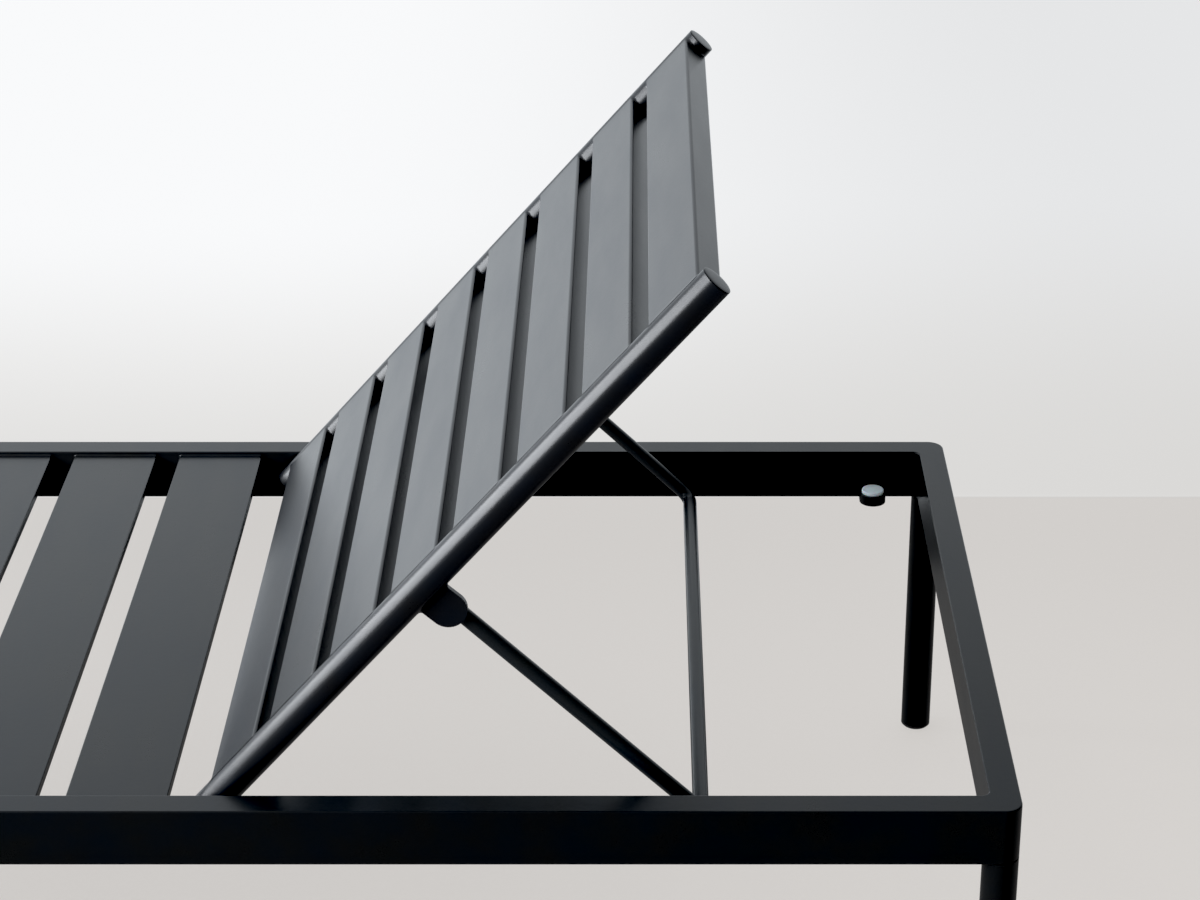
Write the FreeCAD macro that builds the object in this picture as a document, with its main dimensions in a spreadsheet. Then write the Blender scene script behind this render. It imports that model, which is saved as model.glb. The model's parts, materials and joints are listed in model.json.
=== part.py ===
"""Reclining sun lounger: welded aluminium frame, slatted seat, slatted back on a propping bail.

Frame of the model: millimetres, +Z up, origin on the ground under the middle of the lounger.
+X points to the head end. The left side is -Y. The back is drawn raised to its rest angle.
"""
import FreeCAD, Part
import math
import os
import Sketcher

V = FreeCAD.Vector

# ----------------------------------------------------------------------------------------------
# Driving dimensions, in millimetres and degrees
# ----------------------------------------------------------------------------------------------
SIZES = {
    # frame
    "overall_length": (2000, "foot rail's outer face to head rail's outer face"),
    "overall_width": (700, "outer face to outer face of the side rails"),
    "frame_top": (325, "top of the rails above the ground"),
    "rail_width": (25.4, "rail tube, across"),
    "rail_height": (50.8, "rail tube, upright"),
    "rail_wall": (2, "rail tube, wall"),
    "rail_edge": (1.5, "rail tube, outer edge radius"),
    "corner_reach": (45, "corner casting, outer corner to the rail's end"),
    "corner_outer": (15, "corner casting, outer radius in plan"),
    "corner_inner": (7, "corner casting, inner radius in plan"),
    "spigot_length": (30, "corner casting, length of the spigot in each tube"),
    "spigot_gap": (0.25, "corner casting, play of a spigot in its tube, per side"),
    "leg_size": (30, "leg tube, outer diameter"),
    "leg_wall": (2, "leg tube, wall"),
    "glide_height": (4, "foot glide, part below the leg tube"),
    "glide_round": (2, "foot glide, rim chamfer"),
    "glide_plug": (20, "foot glide, length of the plug in the leg"),
    "plug_gap": (0.1, "play of a plastic plug in its tube, per side"),
    # seat
    "seat_slat_width": (83, "seat slat, width"),
    "seat_slat_thick": (8, "seat slat, thickness"),
    "seat_slat_wall": (1.2, "seat slat, wall"),
    "seat_slat_edge": (1, "seat slat, edge radius"),
    "seat_drop": (4, "seat surface below the top of the rails"),
    "seat_to_hinge": (37.2, "last seat slat's edge to the hinge axis"),
    # back hinge
    "hinge_from_head": (656, "hinge axis to the head rail's outer face"),
    "hinge_drop": (16, "hinge axis below the top of the rails"),
    "recline": (48.4, "angle of the back above level, as drawn"),
    "pivot_size": (6, "pivot bolt and prop pin, diameter"),
    "pivot_play": (0.05, "running clearance round a pivot, per side"),
    "thrust_play": (0.1, "end play of a pivot, per side"),
    "bolt_head": (10.5, "pivot bolt, head diameter"),
    "bolt_head_high": (3.3, "pivot bolt, head height"),
    "washer_size": (12, "pivot washer, diameter"),
    "washer_thick": (1, "pivot washer, thickness"),
    "bush_size": (9, "hinge bush, outer diameter"),
    "bush_proud": (1, "hinge bush, how far it stands out of the back tube, per side"),
    "spacer_size": (16, "hinge spacer, diameter"),
    "insert_size": (9, "threaded insert, diameter"),
    "insert_length": (14, "threaded insert, length"),
    # back
    "tube_size": (26.9, "back tube, outer diameter"),
    "tube_wall": (1.6, "back tube, wall"),
    "tube_inset": (22, "back tube's axis to the side rail's inner face"),
    "tube_tail": (13, "back tube, length below the hinge axis"),
    "tube_reach": (611, "back tube, length above the hinge axis"),
    "cap_thick": (1.5, "tube cap, disc thickness"),
    "cap_plug": (12, "upper tube cap, length of the plug"),
    "cap_to_bush": (1, "lower tube cap's plug to the hinge bush"),
    "cap_edge": (0.4, "tube cap, rim chamfer"),
    "back_slat_width": (57, "back slat, width"),
    "back_slat_depth": (25.4, "back slat, depth"),
    "back_slat_wall": (1.4, "back slat, wall"),
    "back_slat_edge": (2.5, "back slat, edge radius"),
    "back_slat_recess": (0.5, "back slat's face below the crown of the tubes"),
    "back_slat_first": (6.5, "hinge axis to the first back slat's lower edge"),
    "back_slat_last": (602.5, "hinge axis to the last back slat's upper edge"),
    "weld_gap": (0.05, "fit-up gap of a coped joint"),
    # prop
    "ear_along": (260.6, "hinge axis to the ear's pin, along the back"),
    "ear_drop": (29, "tube axis to the ear's pin, square to the back"),
    "ear_thick": (5, "ear plate, thickness"),
    "ear_round": (15.5, "ear plate, radius of its round end about the pin"),
    "rod_size": (13.5, "bail rod, diameter"),
    "rod_bend": (13, "bail rod, bend radius of the centre line"),
    "arm_length": (281.2, "ear pin to the crossbar's axis"),
    "arm_gap": (0.55, "bail arm to ear plate"),
    "pin_head": (10, "prop pin, head diameter"),
    "pin_head_high": (2, "prop pin, head height"),
    "bar_drop": (35.3, "crossbar's axis below the top of the rails"),
    "catch_size": (8, "catch pin at each end of the crossbar, diameter"),
    "catch_depth": (9.5, "catch pin, start inside the arm's centre plane"),
    "catch_gap": (0.4, "catch pin's end to the rack plate"),
    "rack_thick": (4, "rack plate, thickness"),
    "rack_above": (9, "rack plate, top above the crossbar's axis"),
    "rack_below": (12, "rack plate, bottom below the crossbar's axis"),
    "rack_margin": (26, "rack plate, middle of its outermost notch to its end"),
    "notch_play": (0.5, "rack notch, play round the catch pin"),
    "angle_low": (35, "back angle held by the rack's lowest notch"),
    "angle_high": (60, "back angle held by the next-to-highest notch"),
    "angle_top": (70, "back angle held by the highest notch"),
    "rivet_size": (4.8, "rivet shank, diameter"),
    "rivet_head": (9, "rivet head, diameter"),
    "rivet_high": (1.4, "rivet head, height"),
    "rivet_tail": (6, "rivet, length of its set end inside the rail"),
    "rivet_spread": (0.6, "rivet, growth of its set end, per side"),
    # rests for the lowered back
    "rest_from_head": (73, "rest pad's centre to the head rail's outer face"),
    "rest_inset": (23.6, "rest pad's centre to the side rail's inner face"),
    "rest_size": (26, "rest tab, diameter"),
    "rest_thick": (10, "rest tab, thickness"),
    "pad_size": (22, "rest pad, diameter"),
    "pad_high": (4, "rest pad, height"),
    "pad_edge": (0.8, "rest pad, edge chamfer"),
    "pad_stem": (6, "rest pad, stem diameter"),
    "pad_gap": (0.3, "rest pad to the lowered back"),
    "flange_long": (32, "rest tab's flange, length from the pad's centre"),
    "flange_high": (18, "rest tab's flange, height"),
    "flange_thick": (3, "rest tab's flange, thickness"),
    "flange_rivet": (18.4, "rest pad's centre to the flange's rivet, along the rail"),
    "flange_rivet_up": (3.3, "top of the rest tab to the flange's rivet, upwards"),
}
SEAT_SLATS = 12
BACK_SLATS = 8

# Dimensions worked out from the driving ones, as formulas of the sheet
DERIVED = {
    "head_face": "=overall_length / 2",
    "side_face": "=overall_width / 2",
    "rail_inside": "=side_face - rail_width",
    "rail_mid": "=frame_top - rail_height / 2",
    "rail_base": "=frame_top - rail_height",
    "side_rail_long": "=overall_length - 2 * corner_reach",
    "end_rail_long": "=overall_width - 2 * corner_reach",
    "leg_inset": "=leg_size / 2",
    "leg_bore": "=leg_size - 2 * leg_wall",
    "hinge_x": "=head_face - hinge_from_head",
    "hinge_z": "=frame_top - hinge_drop",
    "seat_end": "=hinge_x - seat_to_hinge",
    "seat_start": "=rail_width - head_face",
    "seat_pitch": "=(seat_end - seat_start) / %d" % SEAT_SLATS,
    "seat_mid": "=frame_top - seat_drop - seat_slat_thick / 2",
    "seat_slat_long": "=2 * rail_inside",
    "tube_radius": "=tube_size / 2",
    "tube_plane": "=rail_inside - tube_inset",
    "tube_bore": "=tube_size - 2 * tube_wall",
    "tube_long": "=tube_tail + tube_reach - 2 * cap_thick",
    "slat_face": "=tube_radius - back_slat_recess",
    "slat_middle": "=slat_face - back_slat_depth / 2",
    "slat_end_inset": "=sqrt(tube_radius * tube_radius - slat_face * slat_face)",
    "back_slat_long": "=2 * (tube_plane - slat_end_inset - weld_gap)",
    "back_pitch": "=(back_slat_last - back_slat_first - back_slat_width) / %d" % (BACK_SLATS - 1),
    "pin_x": "=hinge_x + ear_along * cos(recline) + ear_drop * sin(recline)",
    "pin_z": "=hinge_z + ear_along * sin(recline) - ear_drop * cos(recline)",
    "rod_radius": "=rod_size / 2",
    "arm_plane": "=tube_plane - ear_thick / 2 - arm_gap - rod_radius",
    "bar_z": "=frame_top - bar_drop",
    "bail_angle": "=asin((pin_z - bar_z) / arm_length)",
    "catch_end": "=rail_inside - rack_thick - catch_gap",
    "rest_x": "=head_face - rest_from_head",
    "rest_plane": "=rail_inside - rest_inset",
    "pad_top": "=hinge_z - max(tube_radius; back_slat_depth - slat_face) - pad_gap",
    "tab_top": "=pad_top - pad_high",
}

doc = FreeCAD.newDocument("sun_lounger")
sheet = doc.addObject("Spreadsheet::Sheet", "sizes")
PARTS = []


def fill_sheet():
    """Driving values first, then the formulas, one row each."""
    row = 1
    for name, (value, note) in SIZES.items():
        sheet.set("A%d" % row, note)
        sheet.set("B%d" % row, str(value))
        sheet.setAlias("B%d" % row, name)
        row += 1
    for name, formula in DERIVED.items():
        sheet.set("B%d" % row, formula)
        sheet.setAlias("B%d" % row, name)
        row += 1
    doc.recompute()


def value(text):
    """Number that an expression in the sheet's aliases comes to."""
    result = sheet.evalExpression(text)
    return float(getattr(result, "Value", result))


def linked(text):
    """The same expression as seen from another object of the document."""
    out, word = [], ""
    for letter in text + " ":
        if letter.isalnum() or letter == "_":
            word += letter
            continue
        known = word in SIZES or word in DERIVED
        out.append(("sizes." + word) if known else word)
        out.append(letter)
        word = ""
    return "".join(out).strip()


def bind(thing, path, text):
    thing.setExpression(path, linked(text))


# ----------------------------------------------------------------------------------------------
# Sketches
# ----------------------------------------------------------------------------------------------
def new_body(label):
    body = doc.addObject("PartDesign::Body", label)
    body.Label = label
    return body


def new_sketch(body, plane, name, offset=None):
    """Sketch on one of the body's own origin planes, moved along the plane's normal by offset."""
    sketch = body.newObject("Sketcher::SketchObject", body.Name + "_" + name)
    support = [f for f in body.Origin.OriginFeatures if f.Role == plane][0]
    sketch.AttachmentSupport = [(support, "")]
    sketch.MapMode = "FlatFace"
    if offset:
        bind(sketch, "AttachmentOffset.Base.z", offset)
    return sketch


def dimension(sketch, kind, text, *places):
    """Add a dimension and drive it from the sheet."""
    index = sketch.addConstraint(Sketcher.Constraint(kind, *places, value(text)))
    bind(sketch, "Constraints[%d]" % index, text)


def locate(sketch, geometry, point, x, y):
    """Dimension a point from the sketch's origin, or put it on an axis."""
    for kind, text, axis in (("DistanceX", x, -2), ("DistanceY", y, -1)):
        if text == "0":
            sketch.addConstraint(Sketcher.Constraint("PointOnObject", geometry, point, axis))
        else:
            dimension(sketch, kind, text, -1, 1, geometry, point)


def circle(sketch, x, y, radius):
    centre = V(value(x), value(y), 0)
    index = sketch.addGeometry(Part.Circle(centre, V(0, 0, 1), value(radius)))
    locate(sketch, index, 3, x, y)
    dimension(sketch, "Radius", radius, index)


def polygon(sketch, corners):
    """Closed outline of straight sides through corners, each an (x, y) pair of expressions."""
    points = [V(value(x), value(y), 0) for x, y in corners]
    first = sketch.GeometryCount
    count = len(points)
    for k in range(count):
        sketch.addGeometry(Part.LineSegment(points[k], points[(k + 1) % count]))
    for k in range(count):
        sketch.addConstraint(Sketcher.Constraint("Coincident", first + k, 2,
                                                 first + (k + 1) % count, 1))
    for k, (x, y) in enumerate(corners):
        locate(sketch, first + k, 1, x, y)


def rounded_box(sketch, middle, width, height, radius):
    """Rectangle with round corners, centred on the sketch's upright axis at height middle."""
    a, b, r, c = value(width) / 2, value(height) / 2, value(radius), value(middle)
    first = sketch.GeometryCount
    sides = [((r - a, -b), (a - r, -b)), ((a, r - b), (a, b - r)),
             ((a - r, b), (r - a, b)), ((-a, b - r), (-a, r - b))]
    corners = [(a - r, r - b, -90), (a - r, b - r, 0), (r - a, b - r, 90), (r - a, r - b, 180)]
    for (x0, y0), (x1, y1) in sides:
        sketch.addGeometry(Part.LineSegment(V(x0, y0 + c, 0), V(x1, y1 + c, 0)))
    for x, y, start in corners:
        full = Part.Circle(V(x, y + c, 0), V(0, 0, 1), r)
        turn = math.radians(start)
        sketch.addGeometry(Part.ArcOfCircle(full, turn, turn + math.pi / 2))
    for k in range(4):
        side, arc = first + k, first + 4 + k
        sketch.addConstraint(Sketcher.Constraint("Tangent", side, 2, arc, 1))
        sketch.addConstraint(Sketcher.Constraint("Tangent", arc, 2, first + (k + 1) % 4, 1))
        sketch.addConstraint(Sketcher.Constraint("Vertical" if k % 2 else "Horizontal", side))
    for k in range(3):
        sketch.addConstraint(Sketcher.Constraint("Equal", first + 4 + k, first + 5 + k))
    dimension(sketch, "Radius", radius, first + 4)
    dimension(sketch, "DistanceX", "(%s) / 2" % width, -1, 1, first + 1, 1)
    dimension(sketch, "DistanceX", "-(%s) / 2" % width, -1, 1, first + 3, 1)
    dimension(sketch, "DistanceY", "%s - (%s) / 2" % (middle, height), -1, 1, first, 1)
    dimension(sketch, "DistanceY", "%s + (%s) / 2" % (middle, height), -1, 1, first + 2, 1)


def notch(sketch, x, seat, top, radius):
    """Slot open at the top: a half-round seat at height seat between two upright walls."""
    cx, cy, ct, r = value(x), value(seat), value(top), value(radius)
    first = sketch.GeometryCount
    seat_circle = Part.Circle(V(cx, cy, 0), V(0, 0, 1), r)
    sketch.addGeometry(Part.ArcOfCircle(seat_circle, math.pi, 2 * math.pi))
    sketch.addGeometry(Part.LineSegment(V(cx + r, cy, 0), V(cx + r, ct, 0)))
    sketch.addGeometry(Part.LineSegment(V(cx + r, ct, 0), V(cx - r, ct, 0)))
    sketch.addGeometry(Part.LineSegment(V(cx - r, ct, 0), V(cx - r, cy, 0)))
    for k in (1, 2):
        sketch.addConstraint(Sketcher.Constraint("Coincident", first + k, 2, first + k + 1, 1))
    sketch.addConstraint(Sketcher.Constraint("Tangent", first, 2, first + 1, 1))
    sketch.addConstraint(Sketcher.Constraint("Tangent", first + 3, 2, first, 1))
    sketch.addConstraint(Sketcher.Constraint("Vertical", first + 1))
    sketch.addConstraint(Sketcher.Constraint("Horizontal", first + 2))
    locate(sketch, first, 3, x, seat)
    dimension(sketch, "Radius", radius, first)
    dimension(sketch, "DistanceY", top, -1, 1, first + 2, 1)


# ----------------------------------------------------------------------------------------------
# Features
# ----------------------------------------------------------------------------------------------
def pad(body, sketch, length, middle=True):
    feature = body.newObject("PartDesign::Pad", sketch.Name + "_pad")
    feature.Profile = sketch
    feature.Midplane = middle
    bind(feature, "Length", length)
    doc.recompute()
    return feature


def pocket(body, sketch, length=None, towards_plus=False):
    """Cut a sketch's outline, right through both ways or for a length to one side only."""
    before = body.Shape.Volume
    feature = body.newObject("PartDesign::Pocket", sketch.Name + "_cut")
    feature.Profile = sketch
    if length:
        feature.Type = "Length"
        bind(feature, "Length", length)
        feature.Reversed = towards_plus
    else:
        feature.Type = "ThroughAll"
        feature.Midplane = True
    doc.recompute()
    if not body.Shape.Volume < before - 1e-3:
        raise RuntimeError(feature.Name + " cuts nothing")
    return feature


def fillet(body, base, radius, wanted):
    """Round the edges of base for which wanted(edge) is true."""
    names = ["Edge%d" % (k + 1) for k, e in enumerate(base.Shape.Edges) if wanted(e)]
    feature = body.newObject("PartDesign::Fillet", "%s_fillet_%d" % (body.Name, len(body.Group)))
    feature.Base = (base, names)
    bind(feature, "Radius", radius)
    doc.recompute()
    return feature


def place(part, x="0", y="0", z="0", axis=(0, 0, 1), angle="0"):
    part.Placement = FreeCAD.Placement(V(), FreeCAD.Rotation(V(*axis), 10))
    for name, text in (("x", x), ("y", y), ("z", z)):
        bind(part, "Placement.Base." + name, text)
    bind(part, "Placement.Rotation.Angle", angle)
    doc.recompute()


def place_on_back(part, along, side="0", above="0"):
    """Put a part's origin at a point of the raised back, with its X axis running up the back."""
    x = "hinge_x + (%s) * cos(recline) - (%s) * sin(recline)" % (along, above)
    z = "hinge_z + (%s) * sin(recline) + (%s) * cos(recline)" % (along, above)
    place(part, x, side, z, (0, -1, 0), "recline")


def turned(label, outline):
    """Turned piece: (distance along X, radius) corners revolved about the body's X axis."""
    body = new_body(label)
    sketch = new_sketch(body, "XY_Plane", "outline")
    polygon(sketch, outline)
    feature = body.newObject("PartDesign::Revolution", label + "_turning")
    feature.Profile = sketch
    feature.ReferenceAxis = (sketch, ["H_Axis"])
    feature.Angle = 360
    doc.recompute()
    return body


def keep(part):
    """Count an object as a sub-part, named by its label."""
    PARTS.append(part)
    return part


def keep_group(label, members):
    """Identical separate pieces that share one node."""
    group = doc.addObject("Part::Compound", label)
    group.Label = label
    group.Links = members
    doc.recompute()
    return keep(group)


# Left is -Y and right is +Y: name, sign, and the turn about Z that points a part's X outwards
SIDES = (("left", "-1", "-90"), ("right", "1", "90"))


# ----------------------------------------------------------------------------------------------
# Frame
# ----------------------------------------------------------------------------------------------
def rack_angles():
    return ("angle_low", "recline", "angle_high", "angle_top")


def bar_at(angle):
    """Where along X the crossbar lies on the rack when the back stands at an angle."""
    pin_x = "(hinge_x + ear_along * cos(%s) + ear_drop * sin(%s))" % (angle, angle)
    rise = "(hinge_z + ear_along * sin(%s) - ear_drop * cos(%s) - bar_z)" % (angle, angle)
    return "%s + sqrt(arm_length * arm_length - %s * %s)" % (pin_x, rise, rise)


def rack_span():
    """Both ends of the rack plate along X."""
    low = "(%s - rack_margin)" % bar_at("angle_top")
    high = "(%s + rack_margin)" % bar_at("angle_low")
    return low, high


def rack_rivet_places():
    """One rivet near each end and a lower one between the middle notches, clear of the rail's floor."""
    low, high = rack_span()
    floor = "rail_base + rail_wall + rivet_size / 2 + 2 * rivet_spread"
    z = "max(bar_z - rack_below / 2 - catch_size / 4; %s)" % floor
    places = [("%s + rack_margin / 3" % low, "bar_z"), ("%s - rack_margin / 3" % high, "bar_z")]
    middle = "(%s + %s) / 2" % (bar_at("recline"), bar_at("angle_high"))
    return places + [(middle, z)]


def side_rail(name, sign):
    """Side rail tube with holes in its inner wall for the hinge insert and the rivets."""
    body = new_body("side_rail_" + name)
    section = new_sketch(body, "YZ_Plane", "section")
    rounded_box(section, "0", "rail_width", "rail_height", "rail_edge")
    rounded_box(section, "0", "rail_width - 2 * rail_wall", "rail_height - 2 * rail_wall",
                "rail_edge / 3")
    pad(body, section, "side_rail_long")
    holes = new_sketch(body, "XZ_Plane", "holes")
    circle(holes, "hinge_x", "hinge_z - rail_mid", "insert_size / 2")
    for x, z in rack_rivet_places():
        circle(holes, x, "%s - rail_mid" % z, "rivet_size / 2")
    circle(holes, "rest_x - flange_rivet", "tab_top + flange_rivet_up - rail_mid",
           "rivet_size / 2")
    pocket(body, holes, "rail_width / 2 + 1", towards_plus=(sign == "1"))
    place(body, y="%s * (side_face - rail_width / 2)" % sign, z="rail_mid")
    keep(body)


def end_rail(name, sign):
    body = new_body(name + "_rail")
    section = new_sketch(body, "XZ_Plane", "section")
    rounded_box(section, "0", "rail_width", "rail_height", "rail_edge")
    rounded_box(section, "0", "rail_width - 2 * rail_wall", "rail_height - 2 * rail_wall",
                "rail_edge / 3")
    pad(body, section, "end_rail_long")
    place(body, x="%s * (head_face - rail_width / 2)" % sign, z="rail_mid")
    keep(body)


def on_rim(edge):
    """Level edge of a corner casting that is not on one of its two cut ends."""
    reach = value("corner_reach")
    half = value("rail_height") / 2
    level = all(abs(abs(v.Z) - half) < 1e-4 for v in edge.Vertexes)
    on_end = any(all(abs(c - reach) < 1e-4 for c in ends)
                 for ends in ([v.X for v in edge.Vertexes], [v.Y for v in edge.Vertexes]))
    return level and not on_end


def upright_at(x, y):
    def wanted(edge):
        return all(abs(v.X - x) < 1e-4 and abs(v.Y - y) < 1e-4 for v in edge.Vertexes)
    return wanted


def corner(name, turn, x_sign, y_sign):
    """Corner casting: a round-cornered elbow with spigots into both rails and the leg."""
    body = new_body("corner_" + name)
    plan = new_sketch(body, "XY_Plane", "plan")
    polygon(plan, [("0", "0"), ("corner_reach", "0"), ("corner_reach", "rail_width"),
                   ("rail_width", "rail_width"), ("rail_width", "corner_reach"),
                   ("0", "corner_reach")])
    base = pad(body, plan, "rail_height")
    base = fillet(body, base, "corner_outer", upright_at(0, 0))
    inner = value("rail_width")
    base = fillet(body, base, "corner_inner", upright_at(inner, inner))
    fillet(body, base, "rail_edge", on_rim)
    for plane, label in (("YZ_Plane", "long"), ("XZ_Plane", "cross")):
        offset = "corner_reach" if plane == "YZ_Plane" else "-corner_reach"
        end = new_sketch(body, plane, label, offset)
        a = "rail_wall + spigot_gap"
        b = "rail_width - rail_wall - spigot_gap"
        c = "rail_height / 2 - rail_wall - spigot_gap"
        polygon(end, [(a, "-(%s)" % c), (b, "-(%s)" % c), (b, c), (a, c)])
        spigot = pad(body, end, "spigot_length", middle=False)
        spigot.Reversed = plane == "XZ_Plane"
    foot = new_sketch(body, "XY_Plane", "leg_spigot", "-rail_height / 2")
    circle(foot, "leg_inset", "leg_inset", "leg_bore / 2 - spigot_gap")
    down = pad(body, foot, "spigot_length", middle=False)
    down.Reversed = True
    place(body, "%s * head_face" % x_sign, "%s * side_face" % y_sign, "rail_mid", angle=turn)
    keep(body)


def leg(name, x_sign, y_sign):
    body = new_body("leg_" + name)
    section = new_sketch(body, "XY_Plane", "section")
    circle(section, "0", "0", "leg_size / 2")
    circle(section, "0", "0", "leg_bore / 2")
    pad(body, section, "rail_base - glide_height", middle=False)
    place(body, "%s * (head_face - leg_inset)" % x_sign,
          "%s * (side_face - leg_inset)" % y_sign, "glide_height")
    keep(body)


def foot_glide(name, x_sign, y_sign):
    plug = "leg_bore / 2 - plug_gap"
    body = turned("foot_glide_" + name, [
        ("0", "0"), ("0", "leg_size / 2 - glide_round"), ("glide_round", "leg_size / 2"),
        ("glide_height", "leg_size / 2"), ("glide_height", plug),
        ("glide_height + glide_plug", plug), ("glide_height + glide_plug", "0")])
    place(body, "%s * (head_face - leg_inset)" % x_sign,
          "%s * (side_face - leg_inset)" % y_sign, "0", (0, -1, 0), "90")
    keep(body)


def seat_slat(number):
    body = new_body("seat_slat_%02d" % number)
    section = new_sketch(body, "XZ_Plane", "section")
    rounded_box(section, "0", "seat_slat_width", "seat_slat_thick", "seat_slat_edge")
    rounded_box(section, "0", "seat_slat_width - 2 * seat_slat_wall",
                "seat_slat_thick - 2 * seat_slat_wall", "seat_slat_edge / 3")
    pad(body, section, "seat_slat_long")
    place(body, "seat_start + %d * seat_pitch - seat_slat_width / 2" % number, z="seat_mid")
    keep(body)


def prop_rack(name, sign):
    """Notched plate on the side rail's inner face that holds the crossbar's catch pins."""
    body = new_body("prop_rack_" + name)
    low, high = rack_span()
    plate = new_sketch(body, "XZ_Plane", "plate")
    polygon(plate, [(low, "-rack_below"), (high, "-rack_below"), (high, "rack_above"),
                    (low, "rack_above")])
    pad(body, plate, "rack_thick")
    notches = new_sketch(body, "XZ_Plane", "notches")
    for angle in rack_angles():
        notch(notches, bar_at(angle), "0", "rack_above + 1", "catch_size / 2 + notch_play")
    pocket(body, notches)
    holes = new_sketch(body, "XZ_Plane", "holes")
    for x, z in rack_rivet_places():
        circle(holes, x, "%s - bar_z" % z, "rivet_size / 2")
    pocket(body, holes)
    place(body, "0", "%s * (rail_inside - rack_thick / 2)" % sign, "bar_z")
    keep(body)


def rivet(label, seat, high, turn, x, z):
    """Rivet square to the side rail: a head of some height on seat, a set end in the rail."""
    head = "%s - %s" % (seat, high)
    tail = "rail_inside + rail_wall"
    wide = "rivet_size / 2 + rivet_spread"
    outline = [(head, "0"), (head, "rivet_head / 4"), (seat, "rivet_head / 2"),
               (seat, "rivet_size / 2")]
    if high == "0":
        outline = [(seat, "0"), (seat, "rivet_size / 2")]
    body = turned(label, outline + [
        (tail, "rivet_size / 2"), (tail, wide), ("%s + rivet_tail" % tail, wide),
        ("%s + rivet_tail" % tail, "0")])
    place(body, x, "0", z, angle=turn)
    return body


def rivets():
    """Rack rivets are set flush, because the catch pins pass over them."""
    rack, tab = [], []
    for name, _sign, turn in SIDES:
        for k, (x, z) in enumerate(rack_rivet_places()):
            rack.append(rivet("rack_rivet_%s_%d" % (name, k + 1), "rail_inside - rack_thick",
                              "0", turn, x, z))
        tab.append(rivet("tab_rivet_" + name, "rail_inside - flange_thick", "rivet_high", turn,
                         "rest_x - flange_rivet", "tab_top + flange_rivet_up"))
    keep_group("rack_rivets", rack)
    keep_group("tab_rivets", tab)


def rest_tab(name, sign):
    """Bracket under the lowered back's last slat: a flange on the rail and a round-ended tab."""
    body = new_body("rest_tab_" + name)
    plan = new_sketch(body, "XY_Plane", "plan")
    half, reach = "rest_size / 2", "%s * rest_inset" % sign
    polygon(plan, [("-(%s)" % half, "0"), (half, "0"), (half, reach), ("-(%s)" % half, reach)])
    tongue = pad(body, plan, "rest_thick", middle=False)
    tongue.Reversed = True
    nose = new_sketch(body, "XY_Plane", "nose")
    circle(nose, "0", "0", half)
    pad(body, nose, "rest_thick", middle=False).Reversed = True
    flange = new_sketch(body, "XZ_Plane", "flange",
                        "-(%s * (rest_inset - flange_thick / 2))" % sign)
    polygon(flange, [("-flange_long", "-rest_thick"), (half, "-rest_thick"),
                     (half, "flange_high - rest_thick"),
                     ("-flange_long", "flange_high - rest_thick")])
    pad(body, flange, "flange_thick")
    hole = new_sketch(body, "XZ_Plane", "rivet_hole")
    circle(hole, "-flange_rivet", "flange_rivet_up", "rivet_size / 2")
    pocket(body, hole)
    stem = new_sketch(body, "XY_Plane", "stem_hole")
    circle(stem, "0", "0", "pad_stem / 2")
    pocket(body, stem)
    place(body, "rest_x", "%s * rest_plane" % sign, "tab_top")
    keep(body)


def rest_pad(name, sign):
    """Soft round pad that the lowered back lies on, held by its stem."""
    body = turned("rest_pad_" + name, [
        ("-rest_thick", "0"), ("-rest_thick", "pad_stem / 2"), ("0", "pad_stem / 2"),
        ("0", "pad_size / 2"), ("pad_high - pad_edge", "pad_size / 2"),
        ("pad_high", "pad_size / 2 - pad_edge"), ("pad_high", "0")])
    place(body, "rest_x", "%s * rest_plane" % sign, "tab_top", (0, -1, 0), "90")
    keep(body)


# ----------------------------------------------------------------------------------------------
# Back hinge, from the middle of the lounger outwards: head, washer, bush, spacer, insert
# ----------------------------------------------------------------------------------------------
BUSH_IN = "(tube_plane - tube_radius - bush_proud)"
BUSH_OUT = "(tube_plane + tube_radius + bush_proud)"
WASHER_OUT = "(%s - thrust_play)" % BUSH_IN
WASHER_IN = "(%s - washer_thick)" % WASHER_OUT
SPACER_IN = "(%s + thrust_play)" % BUSH_OUT


def ring(label, start, end, bore, size):
    return turned(label, [(start, bore), (end, bore), (end, size), (start, size)])


def at_hinge(part, turn):
    place(part, "hinge_x", "0", "hinge_z", angle=turn)
    return part


def hinge():
    washers, spacers, inserts = [], [], []
    shank = "pivot_size / 2"
    for name, _sign, turn in SIDES:
        crown = "%s - bolt_head_high" % WASHER_IN
        tip = "rail_inside + insert_length"
        bolt = turned("hinge_bolt_" + name, [
            (crown, "0"), (crown, "bolt_head / 4"),
            ("%s - bolt_head_high / 2" % WASHER_IN, "bolt_head * 0.45"),
            (WASHER_IN, "bolt_head / 2"), (WASHER_IN, shank), (tip, shank), (tip, "0")])
        keep(at_hinge(bolt, turn))
        washers.append(at_hinge(ring("hinge_washer_" + name, WASHER_IN, WASHER_OUT,
                                     "pivot_size / 2 + pivot_play", "washer_size / 2"), turn))
        spacers.append(at_hinge(ring("hinge_spacer_" + name, SPACER_IN, "rail_inside",
                                     "pivot_size / 2 + pivot_play", "spacer_size / 2"), turn))
        inserts.append(at_hinge(ring("hinge_insert_" + name, "rail_inside",
                                     "rail_inside + insert_length", shank,
                                     "insert_size / 2"), turn))
    keep_group("hinge_washers", washers)
    keep_group("hinge_spacers", spacers)
    keep_group("hinge_inserts", inserts)


def hinge_bushes():
    bushes = []
    for name, _sign, turn in SIDES:
        bush = ring("hinge_bush_" + name, BUSH_IN, BUSH_OUT, "pivot_size / 2 + pivot_play",
                    "bush_size / 2")
        bushes.append(at_hinge(bush, turn))
    keep_group("hinge_bushes", bushes)


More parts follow.
